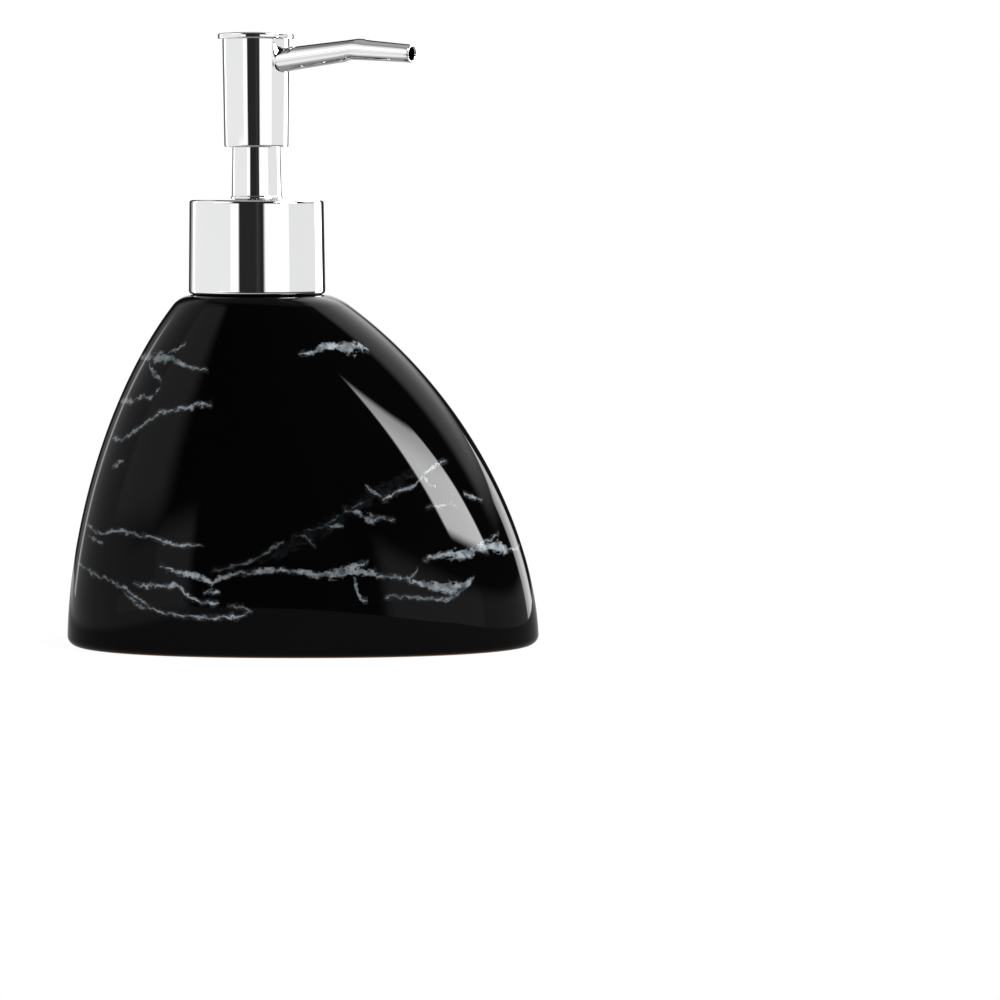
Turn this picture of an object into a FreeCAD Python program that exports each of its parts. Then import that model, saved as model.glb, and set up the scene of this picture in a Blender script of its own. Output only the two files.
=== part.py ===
import FreeCAD, Part
import math
import os
import re
import Sketcher

# Soap pump dispenser: a leaning ceramic bottle with a screw-on lotion pump.
# Frame: origin at the centre of the foot, on the surface it stands on, +Z up, +X along the foot.
# Every height in the outlines below is measured up from the foot.

doc = FreeCAD.newDocument("soap_pump_dispenser")
sheet = doc.addObject("Spreadsheet::Sheet", "Sizes")

SIZES = {
    # Ceramic bottle. Half width at height z:
    # foot_half_width * (1 - (z / crown_height) ** crown_power) ** (1 / crown_root)
    "bottle_height": 87.1,
    "foot_half_width": 58.6,
    "foot_half_depth": 29.0,
    "foot_squareness": 2.3,
    "crown_height": 96.6,
    "crown_power": 1.78,
    "crown_root": 1.53,
    "lean": 0.275,
    "foot_rounding": 2.4,
    "shoulder_rounding": 2.4,
    "wall": 4.0,
    "roof": 4.5,
    "floor_height": 6.0,
    "cavity_top": 81.6,
    "mouth_radius": 12.5,
    # Threaded neck insert, cemented in the mouth.
    "neck_bore": 10.6,
    "neck_radius": 12.8,
    "neck_plug_bottom": 81.0,
    "neck_flange_radius": 15.2,
    "neck_flange_top": 88.5,
    "neck_top": 103.0,
    # Right-hand thread shared by the neck and the closure.
    "thread_pitch": 4.2,
    "thread_depth": 0.95,
    "thread_root_width": 1.9,
    "thread_crest_width": 0.9,
    "neck_thread_bottom": 90.6,
    "neck_thread_rise": 9.0,
    "closure_thread_bottom": 92.7,
    "closure_thread_rise": 8.4,
    "thread_sink": 0.2,
    # Screw closure and its chromed cover.
    "closure_bore": 14.0,
    "closure_bottom": 89.2,
    "closure_roof_bottom": 107.8,
    "closure_hole": 5.7,
    "collar_bottom": 87.3,
    "collar_top": 109.9,
    "collar_foot_radius": 16.85,
    "collar_crown_radius": 16.5,
    "collar_skin": 0.6,
    "collar_rounding": 0.8,
    # Gasket, pump housing and guide ring.
    "gasket_top": 104.2,
    "flange_radius": 12.8,
    "housing_flange_top": 105.8,
    "housing_radius": 8.1,
    "housing_bore": 7.0,
    "housing_taper_top": 69.0,
    "ledge_height": 68.2,
    "chamber_radius": 5.0,
    "chamber_bore": 3.6,
    "chamber_taper_top": 65.5,
    "chamber_bottom": 60.0,
    "seat_radius": 1.4,
    "seat_height": 59.5,
    "socket_radius": 4.3,
    "socket_top": 58.0,
    "socket_bottom": 49.0,
    "dip_tube_radius": 3.0,
    "dip_tube_bore": 2.0,
    "dip_tube_bottom": 8.0,
    "dip_tube_bevel": 30.0,
    "guide_bottom": 100.5,
    "guide_bore": 3.7,
    "guide_flange_radius": 12.4,
    "guide_flange_top": 107.7,
    "guide_tube_radius": 5.3,
    "guide_top": 124.1,
    "wiper_radius": 5.5,
    "wiper_bore": 3.55,
    "wiper_top": 102.1,
    # Chromed sleeve on the guide ring's tube.
    "sleeve_foot_radius": 6.33,
    "sleeve_foot_bottom": 110.05,
    "sleeve_foot_top": 110.8,
    "sleeve_low_radius": 6.13,
    "sleeve_high_radius": 5.84,
    "sleeve_top": 124.3,
    "sleeve_lip": 0.3,
    # Suction valve.
    "ball_radius": 2.0,
    "ball_gap": 0.04,
    "cage_radius": 6.95,
    "cage_top": 69.4,
    "cage_peg_radius": 1.6,
    "cage_peg_bottom": 64.6,
    "cage_hole_radius": 0.8,
    "cage_hole_circle": 2.7,
    "cage_hole_count": 4,
    # Piston, valve rod, stem and spring.
    "piston_radius": 6.92,
    "piston_waist": 6.1,
    "piston_bore": 2.3,
    "piston_socket": 3.75,
    "piston_bottom": 92.4,
    "piston_socket_bottom": 96.8,
    "piston_top": 100.3,
    "piston_lip": 1.5,
    "piston_slope": 1.0,
    "rod_flange_radius": 5.6,
    "rod_flange_bottom": 90.9,
    "rod_flange_top": 92.2,
    "rod_radius": 2.0,
    "rod_top": 105.0,
    "stem_radius": 3.5,
    "stem_bottom": 97.0,
    "stem_top": 141.0,
    "spring_radius": 4.8,
    "spring_wire": 0.5,
    "spring_turns": 8.0,
    "spring_gap": 0.05,
    # Pump head.
    "head_bottom": 122.7,
    "head_top": 148.9,
    "head_low_radius": 7.87,
    "head_high_radius": 8.2,
    "head_bore": 7.0,
    "head_rounding": 0.4,
    "core_bottom": 137.0,
    "core_top": 147.4,
    "core_channel": 1.7,
    "core_channel_top": 145.6,
    "cap_radius": 9.3,
    "cap_top": 150.3,
    "cap_top_rounding": 0.5,
    "cap_edge_rounding": 0.3,
    # Spout, as three stations along its own run from the pump axis.
    "spout_turn": -30.0,
    "spout_start": 4.0,
    "spout_start_height": 143.36,
    "spout_start_radius": 3.09,
    "spout_knee": 28.9,
    "spout_knee_height": 145.84,
    "spout_knee_radius": 2.6,
    "spout_tip": 44.5,
    "spout_tip_height": 144.62,
    "spout_tip_radius": 2.2,
    "spout_bore_start_radius": 1.9,
    "spout_bore_knee_radius": 2.1,
    "spout_bore_tip_radius": 1.8,
}
for row, (alias, size) in enumerate(SIZES.items(), start=1):
    sheet.set(f"A{row}", alias)
    sheet.set(f"B{row}", str(size))
    sheet.setAlias(f"B{row}", alias)
doc.recompute()

FULL_TURN = 360.0
TOUCHING = 0.001
ORIGIN_POINT = (-1, 1)
X_AXIS = -1
Y_AXIS = -2
SUBPARTS = []


def linked(expression):
    """The expression with each size name pointing at the sheet."""
    return re.sub(r"[a-z]\w*", lambda word: "Sizes." + word.group() if word.group() in SIZES else word.group(),
                  expression)


def size_of(expression):
    return float(sheet.evalExpression(linked(expression)))


def half_width(height):
    fall = 1 - (height / size_of("crown_height")) ** size_of("crown_power")
    return size_of("foot_half_width") * fall ** (1 / size_of("crown_root"))


DECK_HALF_WIDTH = half_width(size_of("bottle_height"))
PUMP_AXIS_X = size_of("lean") * (DECK_HALF_WIDTH - size_of("foot_half_width"))


def keep(item, label, on_pump_axis=True):
    """Name a finished sub-part and put it where it belongs."""
    item.Label = label
    item.Placement = FreeCAD.Placement(
        FreeCAD.Vector(PUMP_AXIS_X if on_pump_axis else 0, 0, 0), FreeCAD.Rotation())
    SUBPARTS.append(item)
    return item


def origin_plane(body, role):
    return next(item for item in body.Origin.OriginFeatures if item.Role == role)


def outline_sketch(body, name, corners):
    """A closed outline of straight sides on the XZ plane, each corner bound to the sheet."""
    sketch = body.newObject("Sketcher::SketchObject", name)
    sketch.AttachmentSupport = (origin_plane(body, "XZ_Plane"), [""])
    sketch.MapMode = "FlatFace"
    points = [FreeCAD.Vector(size_of(across), size_of(up), 0) for across, up in corners]
    count = len(points)
    for index in range(count):
        sketch.addGeometry(Part.LineSegment(points[index], points[(index + 1) % count]))
    for index in range(count):
        sketch.addConstraint(Sketcher.Constraint("Coincident", index, 2, (index + 1) % count, 1))
    for index, (across, up) in enumerate(corners):
        if across == "0":
            sketch.addConstraint(Sketcher.Constraint("PointOnObject", index, 1, Y_AXIS))
        else:
            bind(sketch, "DistanceX", index, across)
        bind(sketch, "DistanceY", index, up)
    return sketch


def bind(sketch, kind, index, expression):
    constraint = Sketcher.Constraint(kind, *ORIGIN_POINT, index, 1, size_of(expression))
    number = sketch.addConstraint(constraint)
    sketch.setExpression(f"Constraints[{number}]", linked(expression))


def turned_body(name, corners):
    """A body turned about the pump axis from an outline of (radius, height) corners."""
    body = doc.addObject("PartDesign::Body", name)
    sketch = outline_sketch(body, name + "_outline", corners)
    turning = body.newObject("PartDesign::Revolution", name + "_turning")
    turning.Profile = sketch
    turning.ReferenceAxis = (sketch, ["V_Axis"])
    turning.Angle = FULL_TURN
    doc.recompute()
    return body


def ring_edges(body, radius, height):
    """Names of the tip's circular edges with that radius at that height."""
    names = []
    for number, edge in enumerate(body.Tip.Shape.Edges, start=1):
        if not isinstance(edge.Curve, Part.Circle):
            continue
        same_radius = abs(edge.Curve.Radius - size_of(radius)) < 1e-4
        same_height = abs(edge.Curve.Center.z - size_of(height)) < 1e-4
        if same_radius and same_height:
            names.append(f"Edge{number}")
    return names


def round_rings(body, name, rings, radius):
    base = body.Tip
    edges = [edge for ring_radius, height in rings for edge in ring_edges(body, ring_radius, height)]
    if len(edges) != len(rings):
        raise RuntimeError(f"{name}: found {len(edges)} edges of {len(rings)}")
    rounding = body.newObject("PartDesign::Fillet", name)
    rounding.Base = (base, edges)
    rounding.setExpression("Radius", linked(radius))
    doc.recompute()


def add_thread(body, root, crest, bottom, rise):
    """A helical ridge from the root radius to the crest radius."""
    outline = [
        (root, f"{bottom} - thread_root_width / 2"),
        (crest, f"{bottom} - thread_crest_width / 2"),
        (crest, f"{bottom} + thread_crest_width / 2"),
        (root, f"{bottom} + thread_root_width / 2"),
    ]
    sketch = outline_sketch(body, body.Name + "_ridge", outline)
    before = body.Shape.Volume
    ridge = body.newObject("PartDesign::AdditiveHelix", body.Name + "_thread")
    ridge.Profile = sketch
    ridge.ReferenceAxis = (sketch, ["V_Axis"])
    ridge.Mode = "pitch-height-angle"
    ridge.setExpression("Pitch", linked("thread_pitch"))
    ridge.setExpression("Height", linked(rise))
    doc.recompute()
    if body.Shape.Volume <= before:
        raise RuntimeError(f"{body.Name}: the thread added nothing")


def joined(kind, name, base, tool):
    item = doc.addObject(kind, name)
    item.Base = base
    item.Tool = tool
    return item


# Ceramic bottle: superelliptic sections that shrink and drift towards the pump axis.

SECTION_POINTS = 48
DOME_SECTIONS = 14
SHOULDER_SECTIONS = 5


def bottle_section(level, width_level, inset):
    """The closed section at a level, as wide as the outside is at width_level, less the inset."""
    outside = half_width(width_level)
    spread = (outside - DECK_HALF_WIDTH) / (size_of("foot_half_width") - DECK_HALF_WIDTH)
    centre = size_of("lean") * (outside - size_of("foot_half_width"))
    depth = DECK_HALF_WIDTH + (size_of("foot_half_depth") - DECK_HALF_WIDTH) * spread
    power = 2 / (2 + (size_of("foot_squareness") - 2) * max(spread, 0))
    points = []
    for step in range(SECTION_POINTS):
        angle = 2 * math.pi * step / SECTION_POINTS
        along = math.copysign(abs(math.cos(angle)) ** power, math.cos(angle))
        across = math.copysign(abs(math.sin(angle)) ** power, math.sin(angle))
        points.append(FreeCAD.Vector(centre + (outside - inset) * along, (depth - inset) * across, level))
    curve = Part.BSplineCurve()
    curve.interpolate(Points=points, PeriodicFlag=True)
    return Part.Wire(curve.toShape())


def dome(bottom, top, lift, inset):
    """A solid through sections from bottom to top, closest together near the top."""
    sections = []
    for step in range(DOME_SECTIONS):
        level = bottom + (top - bottom) * math.sin(0.5 * math.pi * step / (DOME_SECTIONS - 1))
        sections.append(bottle_section(level, level + lift, inset))
    return Part.makeLoft(sections, True)


def shoulder(top, radius):
    """The rounded ring under the deck, as a solid that sits on the dome."""
    sections = []
    for step in range(SHOULDER_SECTIONS):
        angle = 0.5 * math.pi * step / (SHOULDER_SECTIONS - 1)
        level = top - radius * (1 - math.sin(angle))
        sections.append(bottle_section(level, level, radius * (1 - math.cos(angle))))
    return Part.makeLoft(sections, True)


def foot_rim(shape):
    """The edges that lie in the plane of the foot."""
    return [edge for edge in shape.Edges if max(abs(edge.BoundBox.ZMin), abs(edge.BoundBox.ZMax)) < TOUCHING]


def make_bottle():
    height = size_of("bottle_height")
    rounding = size_of("shoulder_rounding")
    outside = dome(0, height - rounding, 0, 0)
    outside = outside.makeFillet(size_of("foot_rounding"), foot_rim(outside))
    outside = outside.fuse(shoulder(height, rounding))
    inside = dome(size_of("floor_height"), size_of("cavity_top"), size_of("roof"), size_of("wall"))
    cavity_middle = (size_of("floor_height") + size_of("cavity_top")) / 2
    mouth = Part.makeCylinder(size_of("mouth_radius"), height - cavity_middle + 1,
                              FreeCAD.Vector(PUMP_AXIS_X, 0, cavity_middle))
    bottle = doc.addObject("Part::Feature", "bottle_body")
    bottle.Shape = outside.cut(inside.fuse(mouth))
    return keep(bottle, "bottle_body", on_pump_axis=False)


make_bottle()

# Neck and closure.

neck = turned_body("neck_insert", [
    ("neck_bore", "neck_plug_bottom"),
    ("mouth_radius", "neck_plug_bottom"),
    ("mouth_radius", "bottle_height"),
    ("neck_flange_radius", "bottle_height"),
    ("neck_flange_radius", "neck_flange_top"),
    ("neck_radius", "neck_flange_top"),
    ("neck_radius", "neck_top"),
    ("neck_bore", "neck_top"),
])
add_thread(neck, "neck_radius - thread_sink", "neck_radius + thread_depth",
           "neck_thread_bottom", "neck_thread_rise")
keep(neck, "neck_insert")

COLLAR_DRAFT = "(collar_foot_radius - collar_crown_radius) / (collar_top - collar_bottom)"
CLOSURE_FOOT_RADIUS = f"collar_foot_radius - collar_skin - {COLLAR_DRAFT} * (closure_bottom - collar_bottom)"
CLOSURE_CROWN_RADIUS = f"collar_crown_radius - collar_skin + {COLLAR_DRAFT} * collar_skin"

closure = turned_body("closure_cap", [
    ("closure_bore", "closure_bottom"),
    (CLOSURE_FOOT_RADIUS, "closure_bottom"),
    (CLOSURE_CROWN_RADIUS, "collar_top - collar_skin"),
    ("closure_hole", "collar_top - collar_skin"),
    ("closure_hole", "closure_roof_bottom"),
    ("closure_bore", "closure_roof_bottom"),
])
add_thread(closure, "closure_bore + thread_sink", "closure_bore - thread_depth",
           "closure_thread_bottom", "closure_thread_rise")
keep(closure, "closure_cap")

collar = turned_body("collar_shell", [
    ("collar_foot_radius - collar_skin", "collar_bottom"),
    ("collar_foot_radius", "collar_bottom"),
    ("collar_crown_radius", "collar_top"),
    ("closure_hole", "collar_top"),
    ("closure_hole", "collar_top - collar_skin"),
    (CLOSURE_CROWN_RADIUS, "collar_top - collar_skin"),
])
round_rings(collar, "collar_rounding_edge", [("collar_crown_radius", "collar_top")], "collar_rounding")
keep(collar, "collar_shell")

# Fixed pieces of the pump.

keep(turned_body("neck_gasket", [
    ("housing_radius", "neck_top"),
    ("flange_radius", "neck_top"),
    ("flange_radius", "gasket_top"),
    ("housing_radius", "gasket_top"),
]), "neck_gasket")

CHAMBER_CONE_TOP = "seat_height + chamber_bore - seat_radius"
keep(turned_body("pump_housing", [
    ("housing_bore", "housing_flange_top"),
    ("flange_radius", "housing_flange_top"),
    ("flange_radius", "gasket_top"),
    ("housing_radius", "gasket_top"),
    ("housing_radius", "housing_taper_top"),
    ("chamber_radius", "chamber_taper_top"),
    ("chamber_radius", "chamber_bottom"),
    ("socket_radius", "chamber_bottom - 1"),
    ("socket_radius", "socket_bottom"),
    ("dip_tube_radius", "socket_bottom"),
    ("dip_tube_radius", "socket_top"),
    ("seat_radius", "socket_top"),
    ("seat_radius", "seat_height"),
    ("chamber_bore", CHAMBER_CONE_TOP),
    ("chamber_bore", "ledge_height"),
    ("housing_bore", "ledge_height"),
]), "pump_housing")

keep(turned_body("chaplet", [
    ("wiper_radius", "guide_bottom"),
    ("housing_bore", "guide_bottom"),
    ("housing_bore", "housing_flange_top"),
    ("guide_flange_radius", "housing_flange_top"),
    ("guide_flange_radius", "guide_flange_top"),
    ("guide_tube_radius", "guide_flange_top"),
    ("guide_tube_radius", "guide_top"),
    ("guide_bore", "guide_top"),
    ("guide_bore", "wiper_top"),
    ("wiper_radius", "wiper_top"),
]), "chaplet")

keep(turned_body("wiper_seal", [
    ("wiper_bore", "guide_bottom"),
    ("wiper_radius", "guide_bottom"),
    ("wiper_radius", "wiper_top"),
    ("wiper_bore", "wiper_top"),
]), "wiper_seal")

sleeve = turned_body("stem_sleeve", [
    ("guide_tube_radius", "sleeve_foot_bottom"),
    ("sleeve_foot_radius", "sleeve_foot_bottom"),
    ("sleeve_foot_radius", "sleeve_foot_top - sleeve_lip"),
    ("sleeve_low_radius", "sleeve_foot_top"),
    ("sleeve_high_radius", "sleeve_top"),
    ("guide_tube_radius", "sleeve_top"),
])
keep(sleeve, "stem_sleeve")


def make_dip_tube():
    """Suction tube with its lower end cut on a slant."""
    tube = turned_body("dip_tube_straight", [
        ("dip_tube_bore", "dip_tube_bottom"),
        ("dip_tube_radius", "dip_tube_bottom"),
        ("dip_tube_radius", "socket_top"),
        ("dip_tube_bore", "socket_top"),
    ])
    wedge = doc.addObject("Part::Wedge", "dip_tube_bevel")
    for name, expression in (
            ("Xmin", "-dip_tube_radius"), ("Xmax", "dip_tube_radius"),
            ("Ymin", "0"), ("Ymax", "2 * dip_tube_radius * tan(dip_tube_bevel)"),
            ("Zmin", "-dip_tube_radius"), ("Zmax", "dip_tube_radius"),
            ("X2min", "-dip_tube_radius"), ("X2max", "-dip_tube_radius"),
            ("Z2min", "-dip_tube_radius"), ("Z2max", "dip_tube_radius")):
        wedge.setExpression(name, linked(expression))
    wedge.Placement = FreeCAD.Placement(
        FreeCAD.Vector(0, 0, size_of("dip_tube_bottom")), FreeCAD.Rotation(FreeCAD.Vector(1, 0, 0), 90))
    keep(joined("Part::Cut", "dip_tube", tube, wedge), "dip_tube")


make_dip_tube()


def make_ball_cage():
    """Disc under the spring with a peg that stops the ball and holes that let the soap past."""
    cage = turned_body("ball_cage", [
        ("0", "cage_peg_bottom"),
        ("cage_peg_radius", "cage_peg_bottom"),
        ("cage_peg_radius", "ledge_height"),
        ("cage_radius", "ledge_height"),
        ("cage_radius", "cage_top"),
        ("0", "cage_top"),
    ])
    before = cage.Shape.Volume
    hole_sketch = cage.newObject("Sketcher::SketchObject", "cage_hole")
    hole_sketch.AttachmentSupport = (origin_plane(cage, "XY_Plane"), [""])
    hole_sketch.MapMode = "FlatFace"
    centre = FreeCAD.Vector(size_of("cage_hole_circle"), 0, 0)
    hole_sketch.addGeometry(Part.Circle(centre, FreeCAD.Vector(0, 0, 1), size_of("cage_hole_radius")))
    hole_sketch.addConstraint(Sketcher.Constraint("PointOnObject", 0, 3, X_AXIS))
    across = hole_sketch.addConstraint(
        Sketcher.Constraint("DistanceX", *ORIGIN_POINT, 0, 3, size_of("cage_hole_circle")))
    hole_sketch.setExpression(f"Constraints[{across}]", linked("cage_hole_circle"))
    round_size = hole_sketch.addConstraint(Sketcher.Constraint("Radius", 0, size_of("cage_hole_radius")))
    hole_sketch.setExpression(f"Constraints[{round_size}]", linked("cage_hole_radius"))
    hole = cage.newObject("PartDesign::Pocket", "cage_hole_cut")
    hole.Profile = hole_sketch
    hole.Type = "ThroughAll"
    hole.Reversed = True
    doc.recompute()
    pattern = cage.newObject("PartDesign::PolarPattern", "cage_holes")
    pattern.Originals = [hole]
    pattern.Axis = (hole_sketch, ["N_Axis"])
    pattern.Angle = FULL_TURN
    pattern.setExpression("Occurrences", linked("cage_hole_count"))
    cage.Tip = pattern
    doc.recompute()
    if cage.Shape.Volume >= before:
        raise RuntimeError("ball_cage: the holes cut nothing")
    keep(cage, "ball_cage")


make_ball_cage()


def make_spring():
    """Open coil of half turns, each tilted about its own middle so that their ends meet in line."""
    half_turns = 2 * int(size_of("spring_turns"))
    low = size_of("cage_top + spring_wire + spring_gap")
    rise = (size_of("rod_flange_bottom - spring_wire - spring_gap") - low) / half_turns
    tilt = math.degrees(math.asin(rise / (2 * size_of("spring_radius"))))
    start = FreeCAD.Rotation(FreeCAD.Vector(0, 0, 1), -90)
    lean = FreeCAD.Rotation(FreeCAD.Vector(1, 0, 0), tilt)
    pieces = []
    for number in range(half_turns):
        piece = doc.addObject("Part::Torus", f"spring_half_turn_{number}")
        piece.setExpression("Radius1", linked("spring_radius"))
        piece.setExpression("Radius2", linked("spring_wire"))
        piece.Angle3 = FULL_TURN / 2
        side = FreeCAD.Rotation(FreeCAD.Vector(0, 0, 1), 180 * number)
        piece.Placement = FreeCAD.Placement(
            FreeCAD.Vector(0, 0, low + rise * (number + 0.5)), side.multiply(lean).multiply(start))
        pieces.append(piece)
    spring = doc.addObject("Part::MultiFuse", "return_spring")
    spring.Shapes = pieces
    doc.recompute()
    keep(spring, "return_spring")


make_spring()

ball = doc.addObject("Part::Sphere", "inlet_ball")
ball.setExpression("Radius", linked("ball_radius"))
keep(ball, "inlet_ball")
ball.Placement.Base.z = size_of("seat_height - seat_radius + ball_radius * sqrt(2) + ball_gap")

# Moving pieces of the pump.

keep(turned_body("piston", [
    ("piston_bore", "piston_bottom"),
    ("piston_radius", "piston_bottom"),
    ("piston_radius", "piston_bottom + piston_lip"),
    ("piston_waist", "piston_bottom + piston_lip + piston_slope"),
    ("piston_waist", "piston_top - piston_lip - piston_slope"),
    ("piston_radius", "piston_top - piston_lip"),
    ("piston_radius", "piston_top"),
    ("piston_socket", "piston_top"),
    ("piston_socket", "piston_socket_bottom"),
    ("piston_bore", "piston_socket_bottom"),
]), "piston")

keep(turned_body("valve_rod", [
    ("0", "rod_flange_bottom"),
    ("rod_flange_radius", "rod_flange_bottom"),
    ("rod_flange_radius", "rod_flange_top"),
    ("rod_radius", "rod_flange_top"),
    ("rod_radius", "rod_top"),
    ("0", "rod_top"),
]), "valve_rod")

keep(turned_body("pump_stem", [
    ("rod_radius", "stem_bottom"),
    ("stem_radius", "stem_bottom"),
    ("stem_radius", "stem_top"),
    ("rod_radius", "stem_top"),
]), "pump_stem")

# Pump head. The spout's outside also cuts its own hole in the shell and the core.

SPOUT_OUTSIDE = [
    ("spout_start", "spout_start_height", "spout_start_radius"),
    ("spout_knee", "spout_knee_height", "spout_knee_radius"),
    ("spout_tip", "spout_tip_height", "spout_tip_radius"),
]
SPOUT_BORE = [
    ("0", "spout_start_height", "spout_bore_start_radius"),
    ("spout_knee", "spout_knee_height", "spout_bore_knee_radius"),
    ("spout_tip", "spout_tip_height", "spout_bore_tip_radius"),
]


def spout_run(name, stations):
    """A tapered run through round stations, mitred at the knee and square at both ends."""
    places = [(size_of(along), size_of(up)) for along, up, radius in stations]
    rises = [math.atan2(places[i + 1][1] - places[i][1], places[i + 1][0] - places[i][0])
             for i in range(len(places) - 1)]
    tilts = [rises[0], (rises[0] + rises[1]) / 2, rises[1]]
    turn = FreeCAD.Rotation(FreeCAD.Vector(0, 0, 1), size_of("spout_turn"))
    circles = []
    for number, ((along, up), tilt) in enumerate(zip(places, tilts)):
        circle = doc.addObject("Part::Circle", f"{name}_station_{number}")
        circle.setExpression("Radius", linked(stations[number][2]))
        facing = FreeCAD.Rotation(FreeCAD.Vector(0, 0, 1), FreeCAD.Vector(math.cos(tilt), 0, math.sin(tilt)))
        circle.Placement = FreeCAD.Placement(
            turn.multVec(FreeCAD.Vector(along, 0, up)), turn.multiply(facing))
        circles.append(circle)
    run = doc.addObject("Part::Loft", name)
    run.Sections = circles
    run.Solid = True
    run.Ruled = True
    doc.recompute()
    return run


spout_outside = spout_run("spout_outside", SPOUT_OUTSIDE)
spout_bore = spout_run("spout_bore", SPOUT_BORE)
keep(joined("Part::Cut", "spout_tube", spout_outside, spout_bore), "spout_tube")

shell_blank = turned_body("head_shell_blank", [
    ("head_bore", "head_bottom"),
    ("head_low_radius", "head_bottom"),
    ("head_high_radius", "head_top"),
    ("head_bore", "head_top"),
])
round_rings(shell_blank, "head_rounding_edge", [("head_low_radius", "head_bottom")], "head_rounding")
keep(joined("Part::Cut", "head_shell", shell_blank, spout_outside), "head_shell")

core_blank = turned_body("head_core_blank", [
    ("stem_radius", "core_bottom"),
    ("head_bore", "core_bottom"),
    ("head_bore", "core_top"),
    ("0", "core_top"),
    ("0", "core_channel_top"),
    ("core_channel", "core_channel_top"),
    ("core_channel", "stem_top"),
    ("stem_radius", "stem_top"),
])
core_cutter = joined("Part::Fuse", "core_cutter", spout_outside, spout_bore)
keep(joined("Part::Cut", "head_core", core_blank, core_cutter), "head_core")

cap = turned_body("head_cap", [
    ("0", "core_top"),
    ("head_bore", "core_top"),
    ("head_bore", "head_top"),
    ("cap_radius", "head_top"),
    ("cap_radius", "cap_top"),
    ("0", "cap_top"),
])
round_rings(cap, "cap_top_edge", [("cap_radius", "cap_top")], "cap_top_rounding")
round_rings(cap, "cap_low_edge", [("cap_radius", "head_top")], "cap_edge_rounding")
keep(cap, "head_cap")

# Check and export.

doc.recompute()
for item in doc.Objects:
    if "Invalid" in item.State or "Error" in item.State:
        raise RuntimeError(f"{item.Label} failed: {item.State}")
for subpart in SUBPARTS:
    if subpart.Shape.isNull() or not subpart.Shape.isValid():
        raise RuntimeError(f"{subpart.Label} has no valid shape")

os.makedirs("parts", exist_ok=True)
for subpart in SUBPARTS:
    subpart.Shape.exportStep(f"parts/{subpart.Label}.step")
    box = subpart.Shape.BoundBox
    print(f"{subpart.Label:14s} {len(subpart.Shape.Solids)} solid  {subpart.Shape.Volume:10.1f} mm3"
          f"  x {box.XMin:7.2f} {box.XMax:7.2f}  y {box.YMin:7.2f} {box.YMax:7.2f}"
          f"  z {box.ZMin:7.2f} {box.ZMax:7.2f}")
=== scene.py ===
"""Looks, light and camera for the soap pump dispenser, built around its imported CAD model."""

import math

import bpy
from mathutils import Matrix, Vector


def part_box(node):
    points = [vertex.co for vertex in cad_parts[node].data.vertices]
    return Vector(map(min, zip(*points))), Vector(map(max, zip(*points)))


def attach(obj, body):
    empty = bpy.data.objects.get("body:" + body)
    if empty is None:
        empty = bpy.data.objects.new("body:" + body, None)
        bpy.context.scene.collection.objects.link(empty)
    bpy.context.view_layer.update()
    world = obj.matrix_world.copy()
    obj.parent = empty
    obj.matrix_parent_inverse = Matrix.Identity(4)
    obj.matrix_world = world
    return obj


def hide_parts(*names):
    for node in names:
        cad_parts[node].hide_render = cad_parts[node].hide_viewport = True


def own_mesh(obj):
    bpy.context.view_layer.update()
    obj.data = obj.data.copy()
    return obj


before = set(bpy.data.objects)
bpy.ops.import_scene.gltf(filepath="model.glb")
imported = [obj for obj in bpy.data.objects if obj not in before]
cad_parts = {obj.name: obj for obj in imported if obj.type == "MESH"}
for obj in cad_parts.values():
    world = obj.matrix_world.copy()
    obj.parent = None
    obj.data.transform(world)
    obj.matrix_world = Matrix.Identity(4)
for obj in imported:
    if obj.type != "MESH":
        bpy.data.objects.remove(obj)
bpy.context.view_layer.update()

MM = 0.001
FULL_TURN = 2 * math.pi


# Places that the frame gives.

_, bottle_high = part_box("bottle_body")
collar_low, collar_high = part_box("collar_shell")
PUMP_X = (collar_low.x + collar_high.x) / 2
BOTTLE_HEIGHT = bottle_high.z


# The shape of the bottle, as its CAD source has it. Only the deck outside the seat is a step lower.

FOOT_HALF_WIDTH = 58.57 * MM
FOOT_HALF_DEPTH = 28.98 * MM
FOOT_SQUARENESS = 2.3
CROWN_HEIGHT = 96.6 * MM
CROWN_POWER = 1.78
CROWN_ROOT = 1.53
LEAN = 0.275
WALL = 4.0 * MM
ROOF = 4.5 * MM
FLOOR_HEIGHT = 6.0 * MM
CAVITY_TOP = 81.6 * MM
MOUTH_RADIUS = 12.5 * MM
FOOT_ROUNDING = 2.4 * MM
SEAT_RADIUS = 15.3 * MM
SEAT_STEP = 0.45 * MM
SHOULDER_ROUNDING = 2.4 * MM
MOUTH_ROUNDING = 0.6 * MM
FOOT_RING_WIDTH = 4.0 * MM
FOOT_RING_HEIGHT = 0.8 * MM
FOOT_RING_INSET = FOOT_ROUNDING + FOOT_RING_WIDTH

# The foot ring's inner side goes down through (level, distance outward). The shares place the rings
# under the bottle and on the cavity's floor, between the middle and the wall.

FOOT_RING_SIDE = [(0.3 * FOOT_RING_HEIGHT, 0.5 * MM), (0, 1.2 * MM)]
RECESS_SHARES = (0.3, 0.6, 0.85)
CAVITY_FLOOR_SHARE = 0.6


# Meshes.

RING_POINTS = 256


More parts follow.
